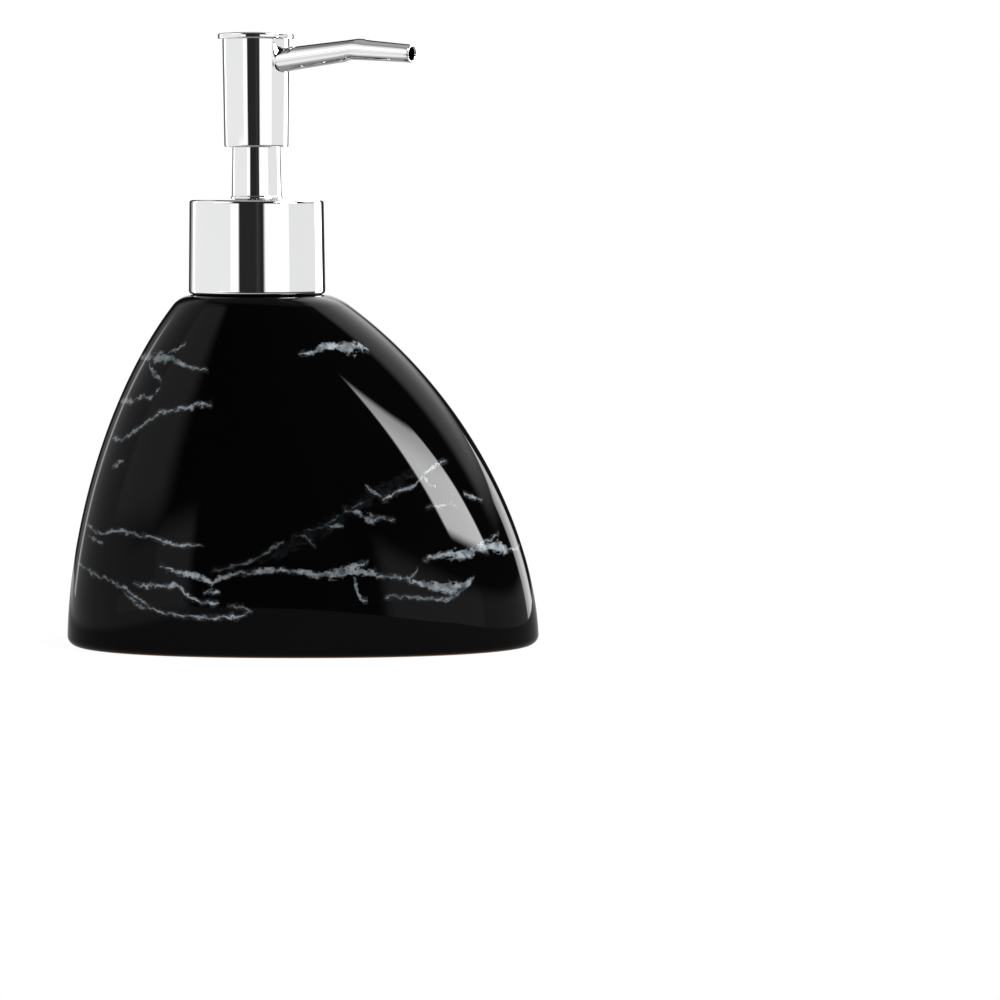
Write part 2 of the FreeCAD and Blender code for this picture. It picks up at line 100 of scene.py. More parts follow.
def add_mesh(name, rows, closed_start=False, closed_end=False):
    """A smooth mesh through rings of points, each with as many points as the others."""
    count = len(rows[0])
    points = [point for row in rows for point in row]
    faces = []
    for row in range(len(rows) - 1):
        for step in range(count):
            after = (step + 1) % count
            faces.append((row * count + step, row * count + after,
                          (row + 1) * count + after, (row + 1) * count + step))
    if closed_start:
        points.append(sum(rows[0], Vector()) / count)
        faces += [(len(points) - 1, (step + 1) % count, step) for step in range(count)]
    if closed_end:
        points.append(sum(rows[-1], Vector()) / count)
        base = (len(rows) - 1) * count
        faces += [(len(points) - 1, base + step, base + (step + 1) % count) for step in range(count)]
    mesh = bpy.data.meshes.new(name)
    mesh.from_pydata(points, [], faces)
    mesh.shade_smooth()
    piece = bpy.data.objects.new(name, mesh)
    bpy.context.scene.collection.objects.link(piece)
    return piece


def quarter(steps):
    """Angles of a quarter turn, both ends included."""
    return [0.5 * math.pi * step / steps for step in range(steps + 1)]


def pump_ring(level, radius):
    """A round ring on the pump's axis."""
    ring = []
    for step in range(RING_POINTS):
        angle = FULL_TURN * step / RING_POINTS
        ring.append(Vector((PUMP_X + radius * math.cos(angle), radius * math.sin(angle), level)))
    return ring


# The glazed bottle.

ROUNDING_STEPS = 8
WALL_STEPS = 72
MOUTH_STEPS = 4
CAVITY_STEPS = 24


def half_width(level):
    """Half the width of the dome at a level."""
    fall = 1 - (level / CROWN_HEIGHT) ** CROWN_POWER
    return FOOT_HALF_WIDTH * fall ** (1 / CROWN_ROOT)


DECK_HALF_WIDTH = half_width(BOTTLE_HEIGHT)


def bottle_ring(level, inset, width_level):
    """A superelliptic ring at a level, as wide as the bottle is at width_level, less the inset."""
    outside = half_width(width_level)
    spread = (outside - DECK_HALF_WIDTH) / (FOOT_HALF_WIDTH - DECK_HALF_WIDTH)
    centre = LEAN * (outside - FOOT_HALF_WIDTH)
    depth = DECK_HALF_WIDTH + (FOOT_HALF_DEPTH - DECK_HALF_WIDTH) * spread
    power = 2 / (2 + (FOOT_SQUARENESS - 2) * max(spread, 0))
    ring = []
    for step in range(RING_POINTS):
        angle = FULL_TURN * step / RING_POINTS
        along = math.copysign(abs(math.cos(angle)) ** power, math.cos(angle))
        across = math.copysign(abs(math.sin(angle)) ** power, math.sin(angle))
        ring.append(Vector((centre + (outside - inset) * along, (depth - inset) * across, level)))
    return ring


def foot_rows():
    """The recess under the bottle, its foot ring and the rounded edge of the foot, from the middle out."""
    rows = []
    for share in RECESS_SHARES:
        inset = FOOT_HALF_DEPTH * (1 - share) + FOOT_RING_INSET * share
        rows.append(bottle_ring(FOOT_RING_HEIGHT, inset, 0))
    rows.append(bottle_ring(FOOT_RING_HEIGHT, FOOT_RING_INSET, 0))
    for level, outward in FOOT_RING_SIDE:
        rows.append(bottle_ring(level, FOOT_RING_INSET - outward, 0))
    for angle in quarter(ROUNDING_STEPS):
        level = FOOT_ROUNDING * (1 - math.cos(angle))
        rows.append(bottle_ring(level, FOOT_ROUNDING * (1 - math.sin(angle)), level))
    return rows


def wall_rows():
    """The outside of the dome, its rounded shoulder, the deck and the seat, going up."""
    rows = []
    deck = BOTTLE_HEIGHT - SEAT_STEP
    wall_top = deck - SHOULDER_ROUNDING
    for angle in quarter(WALL_STEPS)[1:]:
        level = FOOT_ROUNDING + (wall_top - FOOT_ROUNDING) * math.sin(angle)
        rows.append(bottle_ring(level, 0, level))
    for angle in quarter(ROUNDING_STEPS)[1:]:
        level = wall_top + SHOULDER_ROUNDING * math.sin(angle)
        rows.append(bottle_ring(level, SHOULDER_ROUNDING * (1 - math.cos(angle)), level))
    rows.append(pump_ring(deck, SEAT_RADIUS + SEAT_STEP))
    rows.append(pump_ring(BOTTLE_HEIGHT, SEAT_RADIUS))
    return rows


def inside_rows():
    """The mouth and the cavity, going down."""
    rows = []
    for angle in quarter(MOUTH_STEPS):
        radius = MOUTH_RADIUS + MOUTH_ROUNDING * (1 - math.sin(angle))
        rows.append(pump_ring(BOTTLE_HEIGHT - MOUTH_ROUNDING * (1 - math.cos(angle)), radius))
    rows.append(pump_ring(CAVITY_TOP, MOUTH_RADIUS))
    for angle in reversed(quarter(CAVITY_STEPS)):
        level = FLOOR_HEIGHT + (CAVITY_TOP - FLOOR_HEIGHT) * math.sin(angle)
        rows.append(bottle_ring(level, WALL, level + ROOF))
    rows.append(bottle_ring(FLOOR_HEIGHT, CAVITY_FLOOR_SHARE * FOOT_HALF_DEPTH, 0))
    return rows


def make_bottle():
    rows = foot_rows() + wall_rows() + inside_rows()
    bottle = add_mesh("bottle", rows, closed_start=True, closed_end=True)
    bottle.data.materials.append(marbled_glaze())
    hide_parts("bottle_body")
    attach(bottle, "bottle")


# The turned chrome pieces. A corner is (radius, level, rounding) in millimetres. The corners of a hollow
# piece go up the outside and down the inside. Those of the solid disc go from its bottom to its top,
# and flat discs close it there. The collar's foot is a little lower than in CAD, as in the photograph.

ARC_STEPS = 6
FLAT_START = 1.3
COLLAR = [
    (16.85, 86.75, 0.85), (16.5, 109.9, 0.8), (5.7, 109.9, 0.1), (5.7, 109.3, 0.1),
    (15.9, 109.3, 0.1), (16.25, 89.15, 0.1), (15.85, 89.15, 0.1), (15.85, 86.75, 0.1),
]
SLEEVE = [
    (6.33, 110.05, 0.15), (6.33, 110.6, 0.2), (6.12, 110.8, 0.1),
    (5.84, 124.3, 0.15), (5.3, 124.3, 0.1), (5.3, 110.05, 0.1),
]
HEAD_SHELL = [(7.87, 122.7, 0.4), (8.2, 148.9, 0.08), (7.0, 148.9, 0.1), (7.0, 122.7, 0.2)]
HEAD_CAP = [
    (3.0, 147.4, 0), (7.0, 147.4, 0.1), (7.0, 148.9, 0.1),
    (9.3, 148.9, 0.3), (9.3, 150.3, 0.5), (3.0, 150.3, 0),
]


def rounded_outline(corners):
    """An outline with its corners rounded, and a point past each end of an arc to keep the flats flat."""
    points = []
    for number, (radius, level, rounding) in enumerate(corners):
        corner = Vector((radius, level))
        if rounding == 0:
            points.append(corner)
            continue
        before = (Vector(corners[number - 1][:2]) - corner).normalized()
        after = (Vector(corners[(number + 1) % len(corners)][:2]) - corner).normalized()
        half = before.angle(after) / 2
        setback = rounding / math.tan(half)
        middle = corner + (before + after).normalized() * (rounding / math.sin(half))
        start = corner + before * setback - middle
        end = corner + after * setback - middle
        points.append(corner + before * setback * FLAT_START)
        for step in range(ARC_STEPS + 1):
            points.append(middle + rounding * start.slerp(end, step / ARC_STEPS))
        points.append(corner + after * setback * FLAT_START)
    return points


def make_turned(node, body, finish, corners):
    """Stand a smooth turned piece in the place of a CAD node."""
    solid = corners[0][2] == 0
    rows = [pump_ring(point.y * MM, point.x * MM) for point in rounded_outline(corners)]
    if not solid:
        rows += rows[:1]
    piece = add_mesh("smooth_" + node, rows, closed_start=solid, closed_end=solid)
    piece.data.materials.append(finish)
    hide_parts(node)
    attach(piece, body)


# The spout: a tapered tube with one knee, open at its tip. A station is (reach from the pump's axis,
# level, radius) in millimetres, at the root, the knee and the tip.

SPOUT_TURN = math.radians(-30)
SPOUT_STATIONS = [(6.0, 143.56, 3.05), (28.9, 145.84, 2.6), (44.5, 144.62, 2.2)]
SPOUT_BORE = 1.6 * MM
SPOUT_RIM_ROUNDING = 0.3 * MM
SPOUT_KNEE_LENGTH = 1.2 * MM
SPOUT_KNEE_LEAN = 2.4 * MM
SPOUT_POINTS = 96
SPOUT_ARM_STEPS = 10
SPOUT_KNEE_STEPS = 12
SPOUT_RIM_OUTER_STEPS = 5
SPOUT_RIM_INNER_STEPS = 4


def spout_ring(reach, level, radius, slope, lean=0.0):
    """A ring across the spout, at a reach from the pump's axis, with its top leaning towards the tip."""
    along = Vector((math.cos(SPOUT_TURN), math.sin(SPOUT_TURN), 0))
    side = Vector((-math.sin(SPOUT_TURN), math.cos(SPOUT_TURN), 0))
    forward = Vector((along.x * math.cos(slope), along.y * math.cos(slope), math.sin(slope)))
    up = side.cross(forward) * -1
    centre = Vector((PUMP_X, 0, level)) + along * reach
    ring = []
    for step in range(SPOUT_POINTS):
        angle = FULL_TURN * step / SPOUT_POINTS
        ring.append(centre + radius * (math.cos(angle) * side + math.sin(angle) * up)
                    + lean * math.sin(angle) * forward)
    return ring


def spout_path():
    """The spout's stations along its middle, bent smoothly at the knee, and the knee's own station."""
    root, knee, tip = [Vector(station) * MM for station in SPOUT_STATIONS]
    knee_start = knee + (root - knee) * (SPOUT_KNEE_LENGTH / (root - knee).length)
    knee_end = knee + (tip - knee) * (SPOUT_KNEE_LENGTH / (tip - knee).length)
    path = [root.lerp(knee_start, step / SPOUT_ARM_STEPS) for step in range(SPOUT_ARM_STEPS)]
    for step in range(SPOUT_KNEE_STEPS + 1):
        share = step / SPOUT_KNEE_STEPS
        path.append(knee_start.lerp(knee, share).lerp(knee.lerp(knee_end, share), share))
    path += [knee_end.lerp(tip, step / SPOUT_ARM_STEPS) for step in range(1, SPOUT_ARM_STEPS + 1)]
    return path, knee


def spout_rim(end, slope):
    """The rounded rim at the tip, from the outside in."""
    rows = [spout_ring(end.x - SPOUT_RIM_ROUNDING, end.y, end.z, slope)]
    for angle in quarter(SPOUT_RIM_OUTER_STEPS)[1:]:
        back = SPOUT_RIM_ROUNDING * (1 - math.sin(angle))
        shrink = SPOUT_RIM_ROUNDING * (1 - math.cos(angle))
        rows.append(spout_ring(end.x - back, end.y, end.z - shrink, slope))
    for angle in reversed(quarter(SPOUT_RIM_INNER_STEPS)[:-1]):
        back = SPOUT_RIM_ROUNDING * (1 - math.sin(angle))
        widen = SPOUT_RIM_ROUNDING * (1 - math.cos(angle))
        rows.append(spout_ring(end.x - back, end.y, min(SPOUT_BORE + widen, end.z), slope))
    return rows


def make_spout(finish):
    path, knee = spout_path()
    root, tip = path[0], path[-1]
    slopes = []
    for before, after in zip([root] + path[:-1], path[1:] + [tip]):
        slopes.append(math.atan2(after.y - before.y, after.x - before.x))
    rows = []
    for station, slope in zip(path[:-1], slopes):
        arm = root if station.x < knee.x else tip
        nearness = 1 - abs(station.x - knee.x) / abs(arm.x - knee.x)
        rows.append(spout_ring(station.x, station.y, station.z, slope, SPOUT_KNEE_LEAN * nearness))
    rows += spout_rim(tip, slopes[-1])
    past_knee = SPOUT_ARM_STEPS + SPOUT_KNEE_STEPS
    rows.append(spout_ring(path[past_knee].x, path[past_knee].y, SPOUT_BORE, slopes[past_knee]))
    rows.append(spout_ring(root.x, root.y, SPOUT_BORE, slopes[0]))
    spout = add_mesh("spout", rows + rows[:1])
    spout.data.materials.append(finish)
    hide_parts("spout_tube")
    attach(spout, "head")


# The return spring, built at the length of its CAD node. The real spring shortens as the head goes down.

SPRING_TURNS = 8
SPRING_RADIUS = 4.8 * MM
SPRING_WIRE = 0.5 * MM
SPRING_STEPS = 40
WIRE_POINTS = 12


def make_spring(finish):
    spring_low, spring_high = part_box("return_spring")
    bottom = spring_low.z + SPRING_WIRE
    rise = spring_high.z - spring_low.z - 2 * SPRING_WIRE
    rows = []
    for step in range(SPRING_TURNS * SPRING_STEPS + 1):
        share = step / (SPRING_TURNS * SPRING_STEPS)
        turn = FULL_TURN * SPRING_TURNS * share
        outward = Vector((math.cos(turn), math.sin(turn), 0))
        centre = Vector((PUMP_X, 0, bottom + rise * share)) + outward * SPRING_RADIUS
        ring = []
        for point in range(WIRE_POINTS):
            angle = FULL_TURN * point / WIRE_POINTS
            lift = Vector((0, 0, math.sin(angle)))
            ring.append(centre + SPRING_WIRE * (math.cos(angle) * outward + lift))
        rows.append(ring)
    spring = add_mesh("spring", rows, closed_start=True, closed_end=True)
    spring.data.materials.append(finish)
    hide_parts("return_spring")
    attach(spring, "pump_unit")
    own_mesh(spring)


# Shader nodes.

class Graph:
    """Short names for the nodes that the materials and the world use."""

    def __init__(self, tree):
        self.tree = tree
        tree.nodes.clear()

    def node(self, kind, inputs=(), **settings):
        made = self.tree.nodes.new(kind)
        for name, value in settings.items():
            setattr(made, name, value)
        for socket, value in dict(inputs).items():
            self.put(made.inputs[socket], value)
        return made

    def put(self, socket, value):
        if isinstance(value, bpy.types.NodeSocket):
            self.tree.links.new(value, socket)
        else:
            socket.default_value = value

    def math(self, operation, *values):
        inputs = dict(enumerate(values))
        return self.node("ShaderNodeMath", inputs, operation=operation).outputs[0]

    def ramp(self, value, low, high, to_low=0.0, to_high=1.0):
        """A smooth step from to_low to to_high as the value goes from low to high."""
        inputs = {"Value": value, "From Min": low, "From Max": high, "To Min": to_low, "To Max": to_high}
        return self.node("ShaderNodeMapRange", inputs, interpolation_type="SMOOTHSTEP").outputs["Result"]

    def noise(self, place, scale, detail=2.0, roughness=0.5):
        inputs = {"Vector": place, "Scale": scale, "Detail": detail, "Roughness": roughness}
        return self.node("ShaderNodeTexNoise", inputs).outputs["Fac"]

    def stretched(self, place, stretch):
        return self.node("ShaderNodeVectorMath", {0: place, 1: stretch}, operation="MULTIPLY").outputs[0]

    def colour_mix(self, factor, low, high):
        mix = self.node("ShaderNodeMix", data_type="RGBA")
        self.put(mix.inputs[0], factor)
        self.put(mix.inputs[6], low)
        self.put(mix.inputs[7], high)
        return mix.outputs[2]

    def object_place(self):
        return self.node("ShaderNodeTexCoord").outputs["Object"]


def new_material(name):
    material = bpy.data.materials.new(name)
    material.use_nodes = True
    return material, Graph(material.node_tree)


def finish_material(graph, inputs):
    shader = graph.node("ShaderNodeBsdfPrincipled", inputs)
    output = graph.node("ShaderNodeOutputMaterial")
    graph.tree.links.new(shader.outputs[0], output.inputs["Surface"])


# Black glaze with marble veins. A strand is (strength, [(x, z, half width), ...]) in millimetres,
# with x along the bottle and z up.

STRANDS = [
    (1, [(-43, 71.5, 0), (-38.5, 72, 1.1), (-34.5, 71.3, 2.0), (-31, 71.4, 1.2), (-27, 70, 0.8),
         (-21, 68.4, 0)]),
    (0.97, [(-32, 72, 0), (-29, 74, 0.8), (-27, 76, 0)]),
    (0.97, [(-37, 70.5, 0), (-35.6, 68, 1.1), (-33, 66, 0)]),
    (0.97, [(-44.5, 61, 0), (-42.5, 61, 1.2), (-39, 61.8, 0.6), (-35, 62.8, 0.5), (-33, 65, 0)]),
    (0.97, [(-47, 52, 0), (-44.5, 52, 0.6), (-40, 54, 0.5), (-36, 56.5, 0.5), (-33.5, 58.4, 0.7),
            (-31, 59, 0)]),
    (1, [(-33, 58.2, 0), (-28, 59.8, 0.8), (-24, 60.8, 0.8), (-20, 61.4, 0)]),
    (0.84, [(-46, 45, 0), (-44.5, 45.8, 0.8), (-42.5, 46.6, 0)]),
    (1, [(-53, 31, 0), (-50, 29.5, 0.8), (-47, 29, 0.6), (-44.5, 30, 1.0), (-41, 29.7, 0.8),
         (-36, 29, 0.6), (-32, 28, 0.6), (-27, 27.5, 0.4), (-22, 27.3, 0)]),
    (0.84, [(-52, 28, 0), (-50, 27, 1.2), (-48, 26.4, 0)]),
    (0.84, [(-56, 22, 0), (-53, 20.4, 0.5), (-48.5, 18.6, 0.4), (-42.5, 16.6, 0.5), (-37, 13.2, 0.5),
            (-31.5, 11, 0.5), (-23, 10.4, 0.5), (-14.5, 9.9, 0.5), (-11, 11.3, 0)]),
    (0.62, [(-17.5, 12.5, 0), (-14, 12.3, 0.5), (-11, 11.3, 0.4), (-10.4, 11.2, 0)]),
    (0.72, [(-43, 16, 0), (-38.5, 12.8, 0.6), (-36, 12.2, 0)]),
    (0.97, [(-41, 17.6, 0), (-36, 17, 0.5), (-30, 17.2, 0.8), (-27, 15.6, 0.4), (-22.5, 13.9, 0.6),
            (-18, 13.8, 0)]),
    (1, [(-23, 16.2, 0), (-20.5, 16.3, 1.2), (-18, 16.5, 0)]),
    (1, [(-34, 22, 0), (-30, 20.8, 0.8), (-26, 19.9, 1.1), (-22, 19.2, 0.8), (-20, 18.4, 0)]),
    (0.59, [(-20.8, 17.6, 0), (-19.3, 19.3, 1.0), (-17, 20.4, 0.7), (-13, 20.9, 0.6), (-8, 21.3, 0.9),
            (-3, 21.1, 0.7), (2, 21, 1.2), (6, 20.3, 1.7), (10, 20.8, 2.1), (13, 22, 1.1),
            (16.5, 23.4, 0)]),
    (0.59, [(9, 21, 0), (13.5, 20.8, 1.3), (17, 21, 0.9), (20, 20, 0.6), (24, 19.8, 0.7),
            (26.5, 19.6, 1.0), (29.2, 21.4, 0)]),
    (0.22, [(-22, 20.8, 0), (-15.5, 22.6, 0.5), (-10.5, 24.3, 0.4), (-5, 27.6, 0.6), (-2.5, 28.4, 0)]),
    (0.52, [(13, 19.5, 0), (14.3, 17, 1.3), (15.3, 14.8, 1.1), (17.4, 14.2, 0)]),
    (0.59, [(25.5, 19.2, 0), (30, 18.1, 1.1), (33.5, 17.3, 1.9), (37, 16.9, 2.2), (40, 17.4, 1.5),
            (42.4, 19, 0)]),
    (0.45, [(20, 14.3, 0), (25.5, 14.8, 0.6), (29.6, 14.3, 0.6), (34.7, 14, 0.9), (38, 15, 0.7),
            (40.6, 17.6, 0)]),
    (0.75, [(29.5, 23.4, 0), (33.5, 24.1, 1.0), (37, 24.5, 1.8), (40.5, 25.1, 1.9), (44, 25.5, 1.4),
            (47.7, 25.9, 1.9), (50.5, 24.9, 0.9), (54, 24.9, 0)]),
    (0.52, [(42.5, 25.8, 0), (46, 27.5, 0.9), (48.8, 29, 0)]),
    (0.18, [(1, 30.2, 0), (5.3, 31.6, 0.4), (9.5, 34.3, 0.4), (12.5, 35.8, 0.4), (18, 38.8, 0)]),
    (0.65, [(19.5, 38, 0), (24.4, 40.3, 0.7), (28, 42.2, 0.8), (30.4, 44.9, 0.9), (33, 46, 0.4),
            (37, 46.8, 0)]),
    (0.59, [(29.6, 45, 0), (31.2, 42.4, 1.3), (33.6, 41, 0)]),
    (0.39, [(15.5, 41.2, 0), (18, 40, 0.7), (20.8, 38.6, 0)]),
    (0.59, [(11, 36, 0), (14, 34.7, 1.0), (17, 33.7, 1.7), (20, 34, 0.8), (23.5, 33.9, 0)]),
    (0.45, [(6, 31.6, 0), (9, 31.9, 0.6), (11.5, 32, 0)]),
    (0.2, [(-2, 29.5, 0), (1.5, 29.4, 0.5), (4.5, 26.8, 0)]),
    (0.45, [(30, 35.8, 0), (33.5, 36, 0.6), (36.5, 36.2, 0.7), (38.6, 36, 0)]),
    (0.59, [(39, 39, 0), (41, 38, 0.6), (43, 37.2, 0.6), (44.2, 37, 0)]),
    (1, [(-0.5, 73.2, 0), (3.2, 73.7, 0.7), (6.2, 74.7, 1.2), (9.6, 74.3, 1.3), (12.3, 73.8, 2.3),
         (14.8, 73.9, 1.3), (16.8, 73, 0)]),
    (0.018, [(-10, 23, 0), (0, 28, 3.0), (10, 34, 3.5), (20, 40, 3.0), (28, 45, 2.0), (31, 47, 0)]),
]

# A strand's curves run from zero to one, so a level is stored as a share of LEVEL_SPAN and a half width
# as a share of WIDTH_SPAN. A strand is brightest in its core, and a faint halo lies around it. It ends
# where its width runs out.

LEVEL_SPAN = 90 * MM
WIDTH_SPAN = 4 * MM
SPREAD = 0.75 * WIDTH_SPAN
LEAST_SPREAD = 0.02 * MM
END_WIDTH = 0.01
FULL_WIDTH = 0.05
CORE_DEPTH = 0.8
HALO_START = 0.1 * MM
HALO_END = 1.1 * MM
HALO_STRENGTH = 0.14

# What moves the strands off their curves, breaks up their edges, and shifts them on the back.

WANDER = 3.0 * MM
JITTER = 2.6 * MM
GRAIN_PER_METRE = (330.0, 330.0, 520.0)
RAGGED_LOSS = -5.5
RAGGED_GAIN = 0.3
BACK_DEPTH = 22 * MM
BACK_SHIFT_ALONG = -8.0 * MM
BACK_SHIFT_UP = 7.0 * MM
GLAZE_EDGE = 0.45 * MM
BARE_EDGE = 0.25 * MM


def strand_curve(graph, share, points):
    """A smooth curve through (share, value) points."""
    node = graph.node("ShaderNodeFloatCurve", {"Value": share})
    curve = node.mapping.curves[0]
    for _ in points[2:]:
        curve.points.new(0.5, 0.5)
    for place, (along, value) in zip(curve.points, points):
        place.location = (along, value)
        place.handle_type = "AUTO_CLAMPED"
    node.mapping.update()
    return node.outputs["Value"]


def strand_mask(graph, along, level, ragged, strength, points):
    """How much of one strand there is at a place."""
    start, end = points[0][0] * MM, points[-1][0] * MM
    inputs = {"Value": along, "From Min": start, "From Max": end}
    share = graph.node("ShaderNodeMapRange", inputs).outputs["Result"]
    levels = [((x * MM - start) / (end - start), z * MM / LEVEL_SPAN) for x, z, width in points]
    widths = [((x * MM - start) / (end - start), width * MM / WIDTH_SPAN) for x, z, width in points]
    middle = graph.math("MULTIPLY", strand_curve(graph, share, levels), LEVEL_SPAN)
    width = strand_curve(graph, share, widths)
    apart = graph.math("ABSOLUTE", graph.math("SUBTRACT", middle, level))
    reach = graph.math("DIVIDE", apart, graph.math("MULTIPLY_ADD", width, SPREAD, LEAST_SPREAD))
    depth = graph.math("ADD", graph.math("SUBTRACT", 1.0, reach), ragged)
    core = graph.ramp(depth, 0.0, CORE_DEPTH)
    halo = graph.ramp(apart, HALO_START, HALO_END, HALO_STRENGTH, 0.0)
    inside = graph.math("MAXIMUM", core, halo)
    present = graph.ramp(width, END_WIDTH, FULL_WIDTH, 0.0, strength)
    return graph.math("MULTIPLY", inside, present)


def vein_mask(graph, place, split):
    """How much vein there is at a place. The back repeats the front's pattern, shifted."""
    behind = graph.ramp(split.outputs["Y"], 0.0, BACK_DEPTH)
    mirrored = graph.stretched(place, (1.0, 1.0, -1.0))
    wander_along = graph.math("SUBTRACT", graph.noise(mirrored, 150.0, 3.0), 0.5)
    wander_up = graph.math("SUBTRACT", graph.noise(place, 130.0, 3.0), 0.5)
    jitter = graph.math("SUBTRACT", graph.noise(place, 620.0, 4.0, 0.6), 0.5)
    along = graph.math("MULTIPLY_ADD", wander_along, WANDER, split.outputs["X"])
    along = graph.math("MULTIPLY_ADD", behind, BACK_SHIFT_ALONG, along)
    level = graph.math("MULTIPLY_ADD", wander_up, WANDER, split.outputs["Z"])
    level = graph.math("MULTIPLY_ADD", jitter, JITTER, level)
    level = graph.math("MULTIPLY_ADD", behind, BACK_SHIFT_UP, level)
    grain = graph.noise(graph.stretched(place, GRAIN_PER_METRE), 1.0, 4.0, 0.6)
    away_from_ridge = graph.math("ABSOLUTE", graph.math("SUBTRACT", grain, 0.5))
    ragged = graph.math("MULTIPLY_ADD", away_from_ridge, RAGGED_LOSS, RAGGED_GAIN)
    veins = 0.0
    for strength, points in STRANDS:
        veins = graph.math("MAXIMUM", veins, strand_mask(graph, along, level, ragged, strength, points))
    smoke = graph.ramp(graph.noise(place, 420.0, 4.0, 0.6), 0.36, 0.64, 0.3, 1.1)
    return graph.math("MULTIPLY", veins, smoke)


def marbled_glaze():
    """Black glaze with veins, ending at the bare clay of the foot."""
    material, graph = new_material("black marbled glaze")
    place = graph.object_place()
    split = graph.node("ShaderNodeSeparateXYZ", {0: place})
    cloud = graph.noise(place, 60.0, 3.0)
    black = graph.colour_mix(cloud, (0.0004, 0.0004, 0.0005, 1), (0.0009, 0.0008, 0.0008, 1))
    glaze = graph.colour_mix(vein_mask(graph, place, split), black, (0.185, 0.21, 0.228, 1))
    bare = graph.ramp(split.outputs["Z"], GLAZE_EDGE, BARE_EDGE)
    clay = graph.colour_mix(graph.noise(place, 900.0, 3.0), (0.30, 0.15, 0.07, 1), (0.42, 0.24, 0.13, 1))
    colour = graph.colour_mix(bare, glaze, clay)
    roughness = graph.math("MULTIPLY_ADD", graph.noise(place, 90.0), 0.02, 0.015)
    roughness = graph.math("MULTIPLY_ADD", bare, 0.7, roughness)
    ripple = graph.noise(place, 45.0, 1.0)
    bump = graph.node("ShaderNodeBump", {"Strength": 0.10, "Distance": 0.2 * MM, "Height": ripple})
    finish_material(graph, {"Base Color": colour, "Roughness": roughness, "Specular IOR Level": 0.08,
                            "Normal": bump.outputs[0]})
    return material


def chrome(name):
    material, graph = new_material(name)
    place = graph.object_place()
    tone = graph.colour_mix(graph.noise(place, 35.0), (0.65, 0.655, 0.66, 1), (0.68, 0.68, 0.68, 1))
    roughness = graph.math("MULTIPLY_ADD", graph.noise(place, 240.0, 3.0), 0.03, 0.012)
    ripple = graph.noise(place, 120.0, 1.0)
    bump = graph.node("ShaderNodeBump", {"Strength": 0.15, "Distance": 0.02 * MM, "Height": ripple})
    finish_material(graph, {"Base Color": tone, "Roughness": roughness, "Metallic": 1.0,
                            "Normal": bump.outputs[0]})
    return material


def plastic(name, light, dark, roughness, grain):
    """Moulded plastic: a faint mottle in its colour and a fine grain in its surface."""
    material, graph = new_material(name)
    place = graph.object_place()
    colour = graph.colour_mix(graph.noise(place, 70.0, 3.0), dark + (1,), light + (1,))
    rough = graph.math("MULTIPLY_ADD", graph.noise(place, 500.0, 2.0), 0.12, roughness)
    texture = graph.noise(place, 1800.0, 3.0)
    bump = graph.node("ShaderNodeBump", {"Strength": grain, "Distance": 0.05 * MM, "Height": texture})
    finish_material(graph, {"Base Color": colour, "Roughness": rough, "Normal": bump.outputs[0]})
    return material


def clear_plastic():
    material, graph = new_material("clear plastic")
    place = graph.object_place()
    colour = graph.colour_mix(graph.noise(place, 60.0), (0.86, 0.90, 0.91, 1), (0.95, 0.97, 0.97, 1))
    roughness = graph.math("MULTIPLY_ADD", graph.noise(place, 400.0, 2.0), 0.10, 0.05)
    finish_material(graph, {"Base Color": colour, "Roughness": roughness, "Transmission Weight": 0.85,
                            "IOR": 1.49})
    return material


def spring_steel():
    material, graph = new_material("spring steel")
    place = graph.object_place()
    drawn = graph.noise(graph.stretched(place, (1.0, 1.0, 8.0)), 600.0, 3.0)
    colour = graph.colour_mix(drawn, (0.42, 0.42, 0.43, 1), (0.66, 0.66, 0.67, 1))
    roughness = graph.math("MULTIPLY_ADD", drawn, 0.2, 0.2)
    finish_material(graph, {"Base Color": colour, "Roughness": roughness, "Metallic": 1.0})
    return material


def make_finishes():
    """The materials of all slots but the glaze."""
    white = plastic("white plastic", (0.80, 0.80, 0.79), (0.74, 0.74, 0.73), 0.38, 0.10)
    piston_white = plastic("piston plastic", (0.86, 0.86, 0.84), (0.80, 0.80, 0.78), 0.32, 0.05)
    rubber = plastic("seal rubber", (0.055, 0.055, 0.056), (0.035, 0.035, 0.036), 0.62, 0.25)
    return {
        "chrome_cover": chrome("chrome cover"),
        "chrome_head": chrome("chrome head"),
        "white_plastic": white,
        "piston_plastic": piston_white,
        "clear_plastic": clear_plastic(),
        "seal_rubber": rubber,
        "spring_steel": spring_steel(),
    }


def dress_frame(finishes):
    """Give every CAD node that stays in view the material of its slot."""
    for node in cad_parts.values():
        for slot in node.material_slots:
            name = slot.material.name.split(".")[0] if slot.material else ""
            if name in finishes:
                slot.material = finishes[name]


# The studio. Angles are in degrees: azimuth from the camera's side, to the right, and elevation.

CAMERA_DISTANCE = 0.800
CAMERA_AZIMUTH = math.radians(3.54)
CAMERA_HEIGHT = 0.1129
CAMERA_PAN = math.radians(4.294)
CAMERA_TILT = math.radians(5.52)
CAMERA_ROLL = math.radians(0.09)
CAMERA_LENS = 116.35
SENSOR_WIDTH = 36

# A panel is (azimuth from, azimuth to, softness, elevation from, elevation to, softness, brightness).
# Where panels overlap, the brightest counts.

